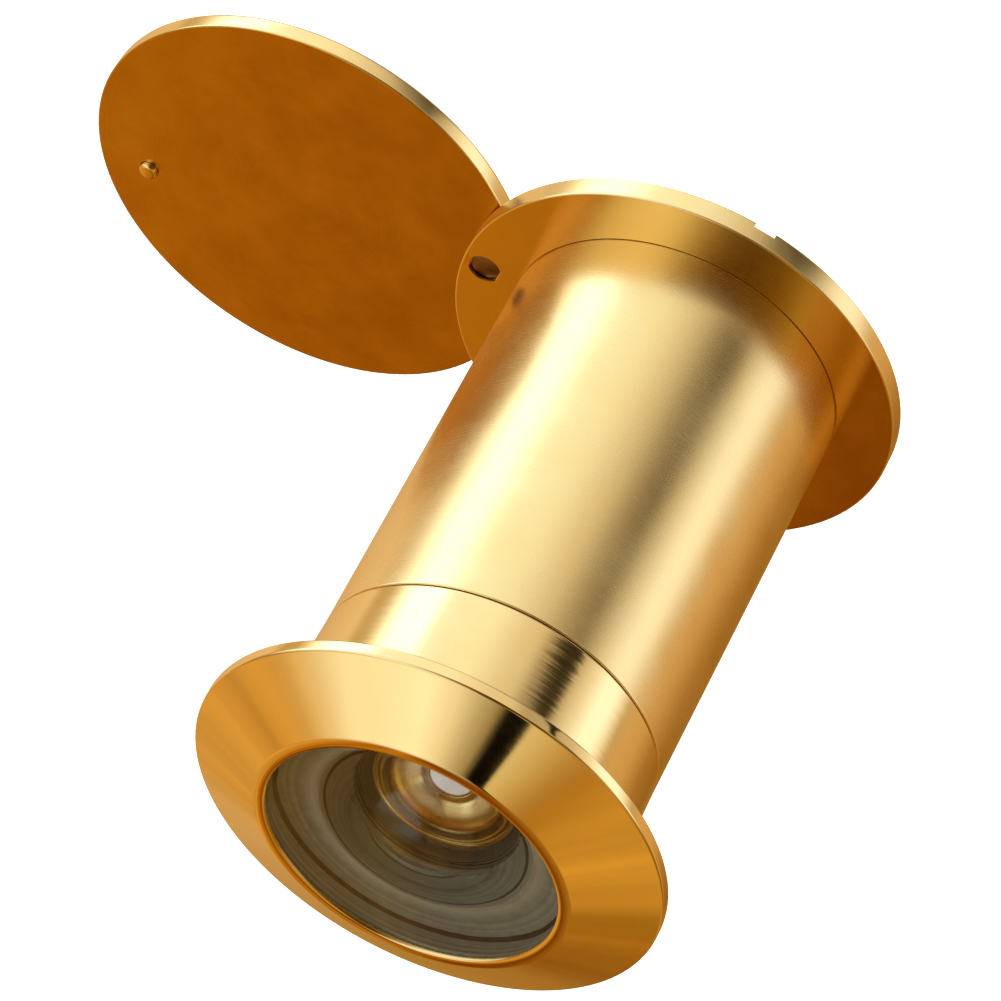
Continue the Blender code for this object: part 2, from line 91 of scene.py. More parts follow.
# Bezel, collar and lens seats of the outdoor barrel.
LIP_OUTER_RADIUS = 11.7 * MM
LIP_INNER_RADIUS = 11.0 * MM
LIP_THICKNESS = 0.3 * MM
RIM_THICKNESS = 0.95 * MM
COLLAR_BASE_RADIUS = 13.25 * MM
BARREL_RADIUS = 13.0 * MM
SEAM_GAP = 0.1 * MM
FIT = 0.05 * MM
FRONT_SEAT_RADIUS = 11.35 * MM
FRONT_SEAT_END = 1.85 * MM
LENS_BORE_RADIUS = 10.0 * MM
LENS_RIB_RADIUS = 8.6 * MM
LENS_RIB_THICKNESS = 0.8 * MM

# Screw joint.
THREAD_PITCH = 1.5 * MM
THREAD_START = 11.2 * MM
THREAD_FADE_TURNS = 0.5
FLANK_SLOPE = 0.5
FLANK_CLEARANCE = 0.12 * MM
MALE_CREST_RADIUS = 11.9 * MM
MALE_ROOT_RADIUS = 11.2 * MM
MALE_CREST_WIDTH = 0.35 * MM
MALE_TURNS = 10
FEMALE_CREST_RADIUS = 11.4 * MM
FEMALE_ROOT_RADIUS = 12.1 * MM
FEMALE_TURNS = 5
RELIEF_END = 29.5 * MM

# Lenses and spacers.
FRONT_DOME_CURVE = 90.0 * MM
FRONT_BOWL_CURVE = 9.0 * MM
FRONT_BOWL_RADIUS = 8.0 * MM
SECOND_BOWL_CURVE = 17.0 * MM
SECOND_BOWL_RADIUS = 9.3 * MM
THIRD_BOWL_CURVE = 20.0 * MM
THIRD_BOWL_RADIUS = 9.0 * MM
LENS_CHAMFER = 0.4 * MM
BOWL_BEVEL = 0.35 * MM
FRONT_SPACER_HOLE = 8.6 * MM
REAR_SPACER_HOLE = 9.2 * MM

# Indoor barrel, eyepiece and flange.
BARREL_BORE_RADIUS = 11.3 * MM
EYEPIECE_RIB_THICKNESS = 1.0 * MM
EYEPIECE_RIB_RADIUS = 9.6 * MM
EYEPIECE_BORE_RADIUS = 10.4 * MM
EYEPIECE_CURVE = 60.0 * MM
EYEPIECE_DOME_RADIUS = 9.3 * MM
RING_HOLE_RADIUS = 9.0 * MM
SPANNER_SLOT_WIDTH = 1.2 * MM
SPANNER_SLOT_DEPTH = 0.8 * MM
TENON_RADIUS = 11.6 * MM
TENON_LENGTH = 0.75 * MM
TUBE_SEAT_RADIUS = 13.06 * MM
TUBE_SEAT_DEPTH = 0.1 * MM
WINDOW_RADIUS = 9.3 * MM
SLOT_WIDTH = 1.7 * MM
SLOT_DEPTH = 0.45 * MM
SLOT_ANGLE = math.radians(-69.0)

# Rivet, cover and peg.
FLANGE_HOLE_RADIUS = 1.0 * MM
TAIL_POCKET_RADIUS = 1.3 * MM
TAIL_POCKET_DEPTH = 0.55 * MM
TAIL_THICKNESS = 0.35 * MM
TAIL_RADIUS = 1.15 * MM
SHANK_RADIUS = 0.9 * MM
HEAD_RADIUS = 1.6 * MM
HEAD_HEIGHT = 0.7 * MM
WASHER_RADIUS = 1.7 * MM
WASHER_THICKNESS = 0.15 * MM
WASHER_DISH = 0.2 * MM
DIMPLE_RADIUS = 1.1 * MM
DIMPLE_DEPTH = 0.5 * MM
COVER_RADIUS = 17.8 * MM
COVER_THICKNESS = 1.4 * MM
COVER_GAP = 0.5 * MM
COVER_ARM = 16.0 * MM
COVER_HOLE_RADIUS = 1.1 * MM
COVER_ANGLE = math.radians(-189.2)
COVER_LEAN = math.radians(2.0)
PIVOT_RADIUS = 15.7 * MM
PIVOT_ANGLE = math.radians(-163.9)
PEG_ARM = 29.7 * MM
PEG_RADIUS = 0.75 * MM
PEG_HEIGHT = 0.45 * MM
PEG_HOLE_DEPTH = 0.7 * MM
SOFT_EDGE = 0.15 * MM

BARREL_AXIS = Matrix.Rotation(-math.pi / 2, 4, "X")

# Base colours, as linear RGB.
PALE_GOLD = (0.93, 0.71, 0.35)
PALE_GOLD_DEEP = (0.90, 0.66, 0.29)
WARM_GOLD = (0.92, 0.66, 0.28)
WARM_GOLD_DEEP = (0.88, 0.60, 0.22)
RAW_BRASS = (0.80, 0.52, 0.22)
RAW_BRASS_DEEP = (0.66, 0.40, 0.15)
# Darker copy of the cover gold for the cover's face toward the flange: painted shade.
SHADED_COVER_GOLD = (0.76, 0.47, 0.08)
SHADED_COVER_GOLD_DEEP = (0.60, 0.36, 0.05)
# Dull brass of the rivet, darkened further as painted shade of the pocket its tail sits in.
DULL_BRASS_WITH_POCKET_SHADE = (0.36, 0.21, 0.08)
DULL_BRASS_WITH_POCKET_SHADE_DEEP = (0.14, 0.07, 0.02)
GROUND_DARK = (0.46, 0.48, 0.38)
GROUND_LIGHT = (0.72, 0.75, 0.66)
# Painted shade on the chamfer behind a lens's ground edge.
CHAMFER_SHADE_DARK = (0.06, 0.05, 0.03)
CHAMFER_SHADE_LIGHT = (0.14, 0.12, 0.08)
# Painted highlight on the bevel round a lens's bowl.
BEVEL_HIGHLIGHT_DARK = (0.74, 0.74, 0.62)
BEVEL_HIGHLIGHT_LIGHT = (0.88, 0.88, 0.80)
LENS_TINT = (0.97, 0.98, 0.95)
EYEPIECE_TINT = (0.98, 0.98, 0.97)
PLASTIC_DARK = (0.24, 0.23, 0.18)
PLASTIC_LIGHT = (0.34, 0.33, 0.27)
STEEL_DARK = (0.50, 0.50, 0.49)
STEEL_LIGHT = (0.66, 0.65, 0.63)

# Noise scales, in steps per metre.
TOOL_LINES = 11000.0
TOOL_BANDS = 1800.0
STEEL_LINES = 14000.0
GROUND_BANDS = 1500.0
HANDLING_SMUDGES = 160.0
LENS_SMEARS = 240.0
STEEL_SMUDGES = 900.0
FLOOR_GRAIN = 900.0
GROUND_GRAIN = 1200.0
PLASTIC_GRAIN = 3000.0
METAL_GRAIN = 6000.0
COARSE_BUMP = 0.01 * MM
STEEL_BUMP = 0.004 * MM
GLASS_IOR = 1.52


# ---------------------------------------------------------------- shapes


def sagitta(curve, rim_radius):
    return curve - math.sqrt(curve**2 - rim_radius**2)


def dome_points(curve, rim_radius, rim_height, rise, steps=DOME_STEPS):
    """Points of a spherical cap from the axis out to its rim. rise is +1 if its middle is the higher."""
    radii = [rim_radius * index / steps for index in range(steps + 1)]
    drop = sagitta(curve, rim_radius)
    return [(radius, rim_height + rise * (drop - sagitta(curve, radius))) for radius in radii]


def rounded(corners):
    """A closed profile of (radius, height, fillet) corners, with the fillets put in."""
    points = []
    for index, (radius, height, fillet) in enumerate(corners):
        here = Vector((radius, height))
        if not fillet:
            points.append((radius, height))
            continue
        before = Vector(corners[index - 1][:2])
        after = Vector(corners[(index + 1) % len(corners)][:2])
        start = here + (before - here).normalized() * fillet
        end = here + (after - here).normalized() * fillet
        for step in range(FILLET_STEPS + 1):
            share = step / FILLET_STEPS
            point = start * (1 - share) ** 2 + here * 2 * share * (1 - share) + end * share**2
            points.append(tuple(point))
    return points


def ring_of_verts(bm, radius, height, sides):
    if radius == 0:
        return [bm.verts.new((0, 0, height))] * sides
    steps = [math.tau * index / sides for index in range(sides)]
    return [bm.verts.new((radius * math.cos(a), radius * math.sin(a), height)) for a in steps]


def skin(bm, profile, sides, closed=False):
    """Faces between the rings at each (radius, height) of a profile. Returns its first and last rings."""
    rings = [ring_of_verts(bm, radius, height, sides) for radius, height in profile]
    pairs = list(zip(rings, rings[1:]))
    if closed:
        pairs.append((rings[-1], rings[0]))
    for low, high in pairs:
        for index in range(sides):
            after = (index + 1) % sides
            corners = dict.fromkeys((low[index], low[after], high[after], high[index]))
            bm.faces.new(tuple(corners))
    return rings[0], rings[-1]


def turned_ring(profile, sides=FINE_SIDES):
    bm = bmesh.new()
    skin(bm, profile, sides, closed=True)
    return bm


def turned_solid(profile, sides=FINE_SIDES):
    bm = bmesh.new()
    skin(bm, profile, sides)
    return bm


def cylinder(radius, bottom, top, x=0.0, y=0.0):
    bm = turned_solid([(0, bottom), (radius, bottom), (radius, top), (0, top)], SMALL_SIDES)
    bmesh.ops.translate(bm, vec=(x, y, 0), verts=bm.verts[:])
    return bm


def bar(length, width, bottom, top, angle):
    bm = bmesh.new()
    bmesh.ops.create_cube(bm, size=1)
    bmesh.ops.scale(bm, vec=(length, width, top - bottom), verts=bm.verts[:])
    bmesh.ops.rotate(bm, matrix=Matrix.Rotation(angle, 3, "Z"), verts=bm.verts[:])
    bmesh.ops.translate(bm, vec=(0, 0, (top + bottom) / 2), verts=bm.verts[:])
    return bm


def thread_fade(turn, turns):
    """Share of the full ridge height: the thread grows out of the wall at each end."""
    return max(0.0, min(1.0, turn / THREAD_FADE_TURNS, (turns - turn) / THREAD_FADE_TURNS))


def thread_lines(bm, wall_radius, crest_radius, base_width, crest_width, start, turns):
    """The four helical edges of one right-hand ridge: base, crest, crest and base."""
    flank = (base_width - crest_width) / 2
    lines = []
    for place, offset in enumerate((0, flank, flank + crest_width, base_width)):
        on_crest = place in (1, 2)
        line = []
        for step in range(turns * FINE_SIDES + 1):
            turn = step / FINE_SIDES
            height = start + offset + THREAD_PITCH * turn
            rise = thread_fade(turn, turns) if on_crest else 0.0
            radius = wall_radius + (crest_radius - wall_radius) * rise
            angle = math.tau * turn
            line.append(bm.verts.new((radius * math.cos(angle), radius * math.sin(angle), height)))
        lines.append(line)
    return lines


def threaded_wall(bm, low_ring, high_ring, lines, turns):
    """Skins the wall between two rings, with the ridge winding up it."""
    sides = FINE_SIDES
    total = turns * sides
    for lower, upper in zip(lines, lines[1:]):
        for step in range(total):
            bm.faces.new((lower[step], upper[step], upper[step + 1], lower[step + 1]))
    base, top = lines[0], lines[-1]
    for step in range(total - sides):
        bm.faces.new((top[step], base[step + sides], base[step + sides + 1], top[step + 1]))
    for step in range(sides - 1):
        bm.faces.new((low_ring[step], base[step], base[step + 1], low_ring[step + 1]))
    start_edge = [base[sides], *(line[0] for line in reversed(lines)), low_ring[0], low_ring[-1]]
    for first, second in zip(start_edge, start_edge[1:]):
        bm.faces.new((base[sides - 1], first, second))
    last_turn = total - sides
    for step in range(1, sides):
        after = (step + 1) % sides
        bm.faces.new((top[last_turn + step], high_ring[step], high_ring[after], top[last_turn + step + 1]))
    end_edge = [top[last_turn], *(line[total] for line in lines), high_ring[0], high_ring[1]]
    for first, second in zip(end_edge, end_edge[1:]):
        bm.faces.new((top[last_turn + 1], first, second))


def male_ridge_width():
    return MALE_CREST_WIDTH + 2 * FLANK_SLOPE * (MALE_CREST_RADIUS - MALE_ROOT_RADIUS)


def female_widths():
    """Base and crest width of the indoor barrel's ridge, which runs midway between the male turns."""
    male_at_female_base = MALE_CREST_WIDTH - 2 * FLANK_SLOPE * (FEMALE_ROOT_RADIUS - MALE_CREST_RADIUS)
    base = THREAD_PITCH - 2 * FLANK_CLEARANCE - male_at_female_base
    crest = base - 2 * FLANK_SLOPE * (FEMALE_ROOT_RADIUS - FEMALE_CREST_RADIUS)
    return base, crest


def new_object(name, bm):
    bmesh.ops.recalc_face_normals(bm, faces=bm.faces[:])
    mesh = bpy.data.meshes.new(name)
    bm.to_mesh(mesh)
    bm.free()
    obj = bpy.data.objects.new(name, mesh)
    bpy.context.scene.collection.objects.link(obj)
    return obj


def carve(obj, tool_bm):
    """Takes the tool's shape out of the piece's own mesh."""
    tool = new_object("carving_tool", tool_bm)
    modifier = obj.modifiers.new("carve", "BOOLEAN")
    modifier.operation = "DIFFERENCE"
    modifier.solver = "EXACT"
    modifier.object = tool
    graph = bpy.context.evaluated_depsgraph_get()
    carved = bpy.data.meshes.new_from_object(obj.evaluated_get(graph))
    obj.modifiers.clear()
    obj.data = carved
    bpy.data.objects.remove(tool, do_unlink=True)


def weld(mesh):
    """Joins points that lie on top of each other after carving or rounding, and closes the slits left."""
    bm = bmesh.new()
    bm.from_mesh(mesh)
    bmesh.ops.remove_doubles(bm, verts=bm.verts[:], dist=WELD_DISTANCE)
    bmesh.ops.dissolve_degenerate(bm, edges=bm.edges[:], dist=WELD_DISTANCE)
    slits = [edge for edge in bm.edges if edge.is_boundary]
    bmesh.ops.holes_fill(bm, edges=slits, sides=SLIT_SIDES)
    bmesh.ops.recalc_face_normals(bm, faces=bm.faces[:])
    bm.to_mesh(mesh)
    bm.free()


def place(node, bm, materials, body, slot_name, matrix=BARREL_AXIS, tools=(), zone=None):
    """The finished piece that stands for a CAD node: carved, shaded, put in place and riding on its body.

    zone(radius, height, outward) gives the number of a face's material, from the face's middle and the
    part of its normal that points away from the axis. The piece's own z ends up along the barrel.
    """
    obj = new_object("fine_" + node, bm)
    for tool in tools:
        carve(obj, tool)
    weld(obj.data)
    obj.data.materials.clear()
    for material in materials:
        obj.data.materials.append(material)
    if zone:
        for face in obj.data.polygons:
            middle = face.center.xy
            outward = middle.normalized().dot(face.normal.xy)
            face.material_index = zone(middle.length, face.center.z, outward)
    level = Matrix.Translation(matrix.translation) @ BARREL_AXIS
    obj.data.transform(level.inverted() @ matrix)
    obj.data.shade_smooth()
    obj.data.set_sharp_from_angle(angle=SHARP_ANGLE)
    flat_faces_first = obj.modifiers.new("flat_faces_first", "WEIGHTED_NORMAL")
    flat_faces_first.keep_sharp = True
    obj.matrix_world = level
    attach(obj, body)
    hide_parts(node)
    return obj


# ---------------------------------------------------------------- materials


class NodeTree:
    """Short calls for the shader nodes used here."""

    def __init__(self, tree):
        self.tree = tree

    def add(self, kind, **settings):
        node = self.tree.nodes.new(kind)
        for key, value in settings.items():
            setattr(node, key, value)
        return node

    def feed(self, value, socket):
        if isinstance(value, bpy.types.NodeSocket):
            self.tree.links.new(value, socket)
        else:
            socket.default_value = value

    def math(self, operation, *values):
        node = self.add("ShaderNodeMath", operation=operation)
        for value, socket in zip(values, node.inputs):
            self.feed(value, socket)
        return node.outputs[0]

    def remap(self, value, low, high, new_low=0.0, new_high=1.0, smooth=False):
        node = self.add("ShaderNodeMapRange")
        if smooth:
            node.interpolation_type = "SMOOTHSTEP"
        for part, socket in zip((value, low, high, new_low, new_high), node.inputs):
            self.feed(part, socket)
        return node.outputs["Result"]

    def noise(self, vector, scale, detail=2.0, roughness=0.5):
        node = self.add("ShaderNodeTexNoise")
        self.feed(vector, node.inputs["Vector"])
        for name, value in (("Scale", scale), ("Detail", detail), ("Roughness", roughness)):
            node.inputs[name].default_value = value
        return node.outputs["Fac"]

    def line_noise(self, position, scale, detail=2.0):
        node = self.add("ShaderNodeTexNoise", noise_dimensions="1D")
        self.feed(position, node.inputs["W"])
        node.inputs["Scale"].default_value = scale
        node.inputs["Detail"].default_value = detail
        return node.outputs["Fac"]

    def mix(self, factor, first, second):
        node = self.add("ShaderNodeMix", data_type="RGBA")
        self.feed(factor, node.inputs["Factor"])
        for colour, socket in ((first, node.inputs[6]), (second, node.inputs[7])):
            self.feed((*colour, 1.0) if isinstance(colour, tuple) else colour, socket)
        return node.outputs[2]

    def ramp(self, factor, stops):
        """A colour ramp over stops of (position, colour)."""
        node = self.add("ShaderNodeValToRGB")
        elements = node.color_ramp.elements
        elements[0].position, elements[-1].position = stops[0][0], stops[-1][0]
        elements[0].color, elements[-1].color = (*stops[0][1], 1.0), (*stops[-1][1], 1.0)
        for position, colour in stops[1:-1]:
            elements.new(position).color = (*colour, 1.0)
        self.feed(factor, node.inputs["Fac"])
        return node.outputs["Color"]

    def bump(self, height, distance, strength=1.0, normal=None):
        node = self.add("ShaderNodeBump")
        node.inputs["Distance"].default_value = distance
        node.inputs["Strength"].default_value = strength
        self.feed(height, node.inputs["Height"])
        if normal is not None:
            self.feed(normal, node.inputs["Normal"])
        return node.outputs["Normal"]


def new_material(name):
    material = bpy.data.materials.new(name)
    material.use_nodes = True
    tree = NodeTree(material.node_tree)
    return material, tree, material.node_tree.nodes["Principled BSDF"].inputs


def axis_coordinates(tree):
    """Object-space place, distance from the turning axis and height along it."""
    spot = tree.add("ShaderNodeTexCoord").outputs["Object"]
    parts = tree.add("ShaderNodeSeparateXYZ")
    tree.feed(spot, parts.inputs[0])
    x, y = parts.outputs["X"], parts.outputs["Y"]
    radius = tree.math("SQRT", tree.math("ADD", tree.math("MULTIPLY", x, x), tree.math("MULTIPLY", y, y)))
    return spot, radius, parts.outputs["Z"]


def gold(name, base, deep, roughness, lines, along, grain=0.0, haze=0.08):
    """Gold plate on turned brass: tool lines round the axis, handling haze and a fine grain.

    lines and grain are the heights of the tool lines and of the grain, and along is what the lines
    step with: "height" on a barrel, "radius" on a face.
    """
    material, tree, surface = new_material(name)
    spot, radius, height = axis_coordinates(tree)
    step = height if along == "height" else radius
    if along == "both":
        step = tree.math("ADD", radius, height)
    fine = tree.line_noise(step, TOOL_LINES, detail=3.0)
    broad = tree.line_noise(step, TOOL_BANDS, detail=2.0)
    smudge = tree.noise(spot, HANDLING_SMUDGES, detail=4.0, roughness=0.6)
    speck = tree.noise(spot, METAL_GRAIN, detail=3.0, roughness=0.6)
    tone = tree.math("ADD", tree.math("MULTIPLY", smudge, 0.7), tree.math("MULTIPLY", fine, 0.3))
    tree.feed(tree.mix(tree.remap(tone, 0.35, 0.65), deep, base), surface["Base Color"])
    wear = tree.remap(smudge, 0.3, 0.75, roughness - haze / 2, roughness + haze / 2)
    tree.feed(tree.math("ADD", wear, tree.remap(fine, 0.3, 0.7, -0.02, 0.02)), surface["Roughness"])
    normal = tree.bump(broad, lines * 2.0)
    normal = tree.bump(fine, lines * 0.5, normal=normal)
    normal = tree.bump(speck, grain, normal=normal)
    tree.feed(normal, surface["Normal"])
    surface["Metallic"].default_value = 1.0
    return material


def lens_glass(name, tint):
    """Clear glass with a trace of polishing haze."""
    material, tree, surface = new_material(name)
    spot, _, _ = axis_coordinates(tree)
    smear = tree.noise(spot, LENS_SMEARS, detail=3.0)
    tree.feed(tree.remap(smear, 0.4, 0.7, 0.0, 0.02), surface["Roughness"])
    surface["Base Color"].default_value = (*tint, 1.0)
    surface["Transmission Weight"].default_value = 1.0
    surface["IOR"].default_value = GLASS_IOR
    return material


def ground_glass(name, dark=GROUND_DARK, light=GROUND_LIGHT):
    """The matt, grey-green edge of a lens. Given other colours, it also paints the shade on a lens's
    chamfer and the highlight round its bowl.
    """
    material, tree, surface = new_material(name)
    spot, radius, height = axis_coordinates(tree)
    grain = tree.noise(spot, GROUND_GRAIN, detail=4.0, roughness=0.6)
    bands = tree.line_noise(tree.math("ADD", radius, height), GROUND_BANDS, detail=2.0)
    tone = tree.math("ADD", tree.math("MULTIPLY", grain, 0.4), tree.math("MULTIPLY", bands, 0.6))
    tree.feed(tree.mix(tree.remap(tone, 0.35, 0.65), dark, light), surface["Base Color"])
    tree.feed(tree.remap(grain, 0.3, 0.7, 0.35, 0.55), surface["Roughness"])
    tree.feed(tree.bump(grain, COARSE_BUMP), surface["Normal"])
    return material


def bore_gold(name):
    """The barrel's bore: reamed, and duller than the outside."""
    return gold(
        name, WARM_GOLD, WARM_GOLD_DEEP,
        roughness=0.26, lines=0.0001 * MM, along="height", grain=0.0012 * MM,
    )


def moulded_plastic(name, dark, light):
    material, tree, surface = new_material(name)
    spot, _, _ = axis_coordinates(tree)
    grain = tree.noise(spot, PLASTIC_GRAIN, detail=3.0)
    tree.feed(tree.mix(grain, dark, light), surface["Base Color"])
    tree.feed(tree.remap(grain, 0.3, 0.7, 0.45, 0.65), surface["Roughness"])
    tree.feed(tree.bump(grain, COARSE_BUMP), surface["Normal"])
    return material


def spring_steel(name):
    material, tree, surface = new_material(name)
    spot, radius, _ = axis_coordinates(tree)
    lines = tree.line_noise(radius, STEEL_LINES, detail=3.0)
    smudge = tree.noise(spot, STEEL_SMUDGES, detail=3.0)
    tree.feed(tree.mix(smudge, STEEL_DARK, STEEL_LIGHT), surface["Base Color"])
    tree.feed(tree.remap(smudge, 0.3, 0.7, 0.25, 0.4), surface["Roughness"])
    tree.feed(tree.bump(lines, STEEL_BUMP), surface["Normal"])
    surface["Metallic"].default_value = 1.0
    return material


# ---------------------------------------------------------------- pieces


def outdoor_barrel():
    """Bezel, collar and threaded spigot."""
    low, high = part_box("outdoor_barrel")
    lip_plane, spigot_end, bezel_radius = low.y, high.y, high.x
    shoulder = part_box("indoor_barrel")[0].y - SEAM_GAP
    rib_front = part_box("third_lens")[1].y + FIT
    rib_rear = rib_front + LENS_RIB_THICKNESS
    edge = SOFT_EDGE
    profile = rounded(
        [
            (MALE_ROOT_RADIUS, spigot_end, edge),
            (LENS_BORE_RADIUS, spigot_end, edge),
            (LENS_BORE_RADIUS, rib_rear, 0),
            (LENS_RIB_RADIUS, rib_rear, 0),
            (LENS_RIB_RADIUS, rib_front, 0),
            (LENS_BORE_RADIUS, rib_front, 0),
            (LENS_BORE_RADIUS, FRONT_SEAT_END, 0),
            (FRONT_SEAT_RADIUS, FRONT_SEAT_END, 0),
            (FRONT_SEAT_RADIUS, lip_plane + LIP_THICKNESS, 0),
            (LIP_INNER_RADIUS, lip_plane + LIP_THICKNESS, 0),
            (LIP_INNER_RADIUS, lip_plane, 2 * edge),
            (LIP_OUTER_RADIUS, lip_plane, 2.4 * edge),
            (bezel_radius, -RIM_THICKNESS, edge),
            (bezel_radius, 0, edge),
            (COLLAR_BASE_RADIUS, 0, 0),
            (BARREL_RADIUS, shoulder, edge),
            (MALE_ROOT_RADIUS, shoulder, 0),
        ]
    )
    bm = bmesh.new()
    high_ring, low_ring = skin(bm, profile, FINE_SIDES)
    ridge = male_ridge_width()
    lines = thread_lines(
        bm, MALE_ROOT_RADIUS, MALE_CREST_RADIUS, ridge, MALE_CREST_WIDTH, THREAD_START, MALE_TURNS
    )
    threaded_wall(bm, low_ring, high_ring, lines, MALE_TURNS)

    def zone(radius, height, outward):
        if outward < INWARD and radius < FRONT_SEAT_RADIUS and height > lip_plane + LIP_THICKNESS / 2:
            return 2
        return 0 if height < 0 else 1

    materials = [
        gold(
            "bezel_gold", PALE_GOLD, WARM_GOLD,
            roughness=0.055, lines=0.0002 * MM, along="both", haze=0.03,
        ),
        gold(
            "collar_gold", PALE_GOLD, PALE_GOLD_DEEP,
            roughness=0.11, lines=0.0020 * MM, along="height", haze=0.06,
        ),
        bore_gold("outdoor_bore"),
    ]
    place("outdoor_barrel", bm, materials, "outdoor_unit", "polished_gold", zone=zone)


def lens_rim(high, bowl_radius):
    """Chamfered rear corner of a lens, and the outer edge of the bevel round its bowl."""
    chamfer = min(LENS_CHAMFER, (high.x - bowl_radius) / 3)
    return [
        (high.x, high.y - chamfer),
        (high.x - chamfer, high.y),
        (min(bowl_radius + BOWL_BEVEL, high.x - 1.5 * chamfer), high.y),
    ]


def place_lens(node, profile, bowl_radius, ground=True):
    """A lens of the outdoor barrel: polished faces, and perhaps a ground edge and rim behind.

    The chamfer behind the ground edge is painted dark as shade, and the bevel round the bowl's mouth is
    painted light as a highlight.
    """
    low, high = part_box(node)

    def zone(radius, height, outward):
        if not ground or height < high.y - LENS_CHAMFER and outward < UPRIGHT:
            return 0
        # Chamfer behind the ground edge: painted dark as shade.
        if radius > bowl_radius and height > high.y - LENS_CHAMFER and outward > SLOPING:
            return 2
        if outward > UPRIGHT:
            return 1
        if radius < bowl_radius:
            return 0
        # Bevel round the bowl's mouth: painted light as a highlight.
        return 3 if radius < bowl_radius + BOWL_BEVEL else 1

    # Material 2 is painted shade on the chamfer, material 3 a painted highlight on the bevel.
    materials = [
        lens_glass(node + "_glass", LENS_TINT),
        ground_glass(node + "_edge"),
        ground_glass(node + "_chamfer_shade", CHAMFER_SHADE_DARK, CHAMFER_SHADE_LIGHT),
        ground_glass(node + "_bevel_highlight", BEVEL_HIGHLIGHT_DARK, BEVEL_HIGHLIGHT_LIGHT),
    ]
    place(node, turned_solid(profile), materials, "outdoor_unit", "lens_glass", zone=zone)


def front_lens():
    low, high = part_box("front_lens")
    front_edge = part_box("outdoor_barrel")[0].y + LIP_THICKNESS + FIT
    dome_radius = LIP_INNER_RADIUS - FIT
    bowl = dome_points(FRONT_BOWL_CURVE, FRONT_BOWL_RADIUS, high.y, -1, steps=FRONT_BOWL_STEPS)
    front = dome_points(FRONT_DOME_CURVE, dome_radius, front_edge, -1)
    profile = [*front, (high.x, front_edge), *lens_rim(high, FRONT_BOWL_RADIUS), *reversed(bowl)]
    place_lens("front_lens", profile, FRONT_BOWL_RADIUS)


def bowl_lens(node, bowl_curve, bowl_radius, ground):
    """Flat front and bowl behind."""
    low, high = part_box(node)
    bowl = dome_points(bowl_curve, bowl_radius, high.y, -1, steps=BOWL_STEPS)
    profile = [(0, low.y), (high.x, low.y), *lens_rim(high, bowl_radius), *reversed(bowl)]
    place_lens(node, profile, bowl_radius, ground)


def spacer(node, hole_radius, material, slot_name):
    low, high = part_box(node)
    edge = SOFT_EDGE / 2
    corners = [
        (hole_radius, low.y, edge),
        (high.x, low.y, edge),
        (high.x, high.y, edge),
        (hole_radius, high.y, edge),
    ]
    place(node, turned_ring(rounded(corners)), [material], "outdoor_unit", slot_name)


def indoor_barrel():
    """Satin tube with the female thread at its mouth."""
    low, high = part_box("indoor_barrel")
    mouth, tenon_end = low.y, high.y
    tube_end = tenon_end - TENON_LENGTH
    rib_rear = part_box("eyepiece_lens")[0].y + sagitta(EYEPIECE_CURVE, EYEPIECE_DOME_RADIUS) - FIT
    rib_front = rib_rear - EYEPIECE_RIB_THICKNESS
    edge = SOFT_EDGE
    profile = rounded(
        [
            (FEMALE_ROOT_RADIUS, mouth, 0),
            (BARREL_RADIUS, mouth, edge),
            (BARREL_RADIUS, tube_end, edge / 2),
            (TENON_RADIUS, tube_end, 0),
            (TENON_RADIUS, tenon_end, 0),
            (EYEPIECE_BORE_RADIUS, tenon_end, 0),
            (EYEPIECE_BORE_RADIUS, rib_rear, 0),
            (EYEPIECE_RIB_RADIUS, rib_rear, 0),
            (EYEPIECE_RIB_RADIUS, rib_front, edge),
            (BARREL_BORE_RADIUS, rib_front, 0),
            (BARREL_BORE_RADIUS, RELIEF_END, 0),
            (FEMALE_ROOT_RADIUS, RELIEF_END, 0),
        ]
    )
    base_width, crest_width = female_widths()
    ridge_shift = (THREAD_PITCH + male_ridge_width() - base_width) / 2
    bm = bmesh.new()
    low_ring, high_ring = skin(bm, profile, FINE_SIDES)
    lines = thread_lines(
        bm,
        FEMALE_ROOT_RADIUS,
        FEMALE_CREST_RADIUS,
        base_width,
        crest_width,
        THREAD_START + ridge_shift,
        FEMALE_TURNS,
    )
    threaded_wall(bm, low_ring, high_ring, lines, FEMALE_TURNS)

    def zone(radius, height, outward):
        return int(outward < INWARD and radius < (FEMALE_ROOT_RADIUS + BARREL_RADIUS) / 2)

    materials = [
        gold(
            "tube_gold", PALE_GOLD, PALE_GOLD_DEEP,
            roughness=0.27, lines=0.0003 * MM, along="height", grain=0.0020 * MM,
        ),
        bore_gold("indoor_bore"),
    ]
    place("indoor_barrel", bm, materials, "indoor_unit", "satin_gold", zone=zone)


def on_circle(radius, angle):
    return radius * math.cos(angle), radius * math.sin(angle)


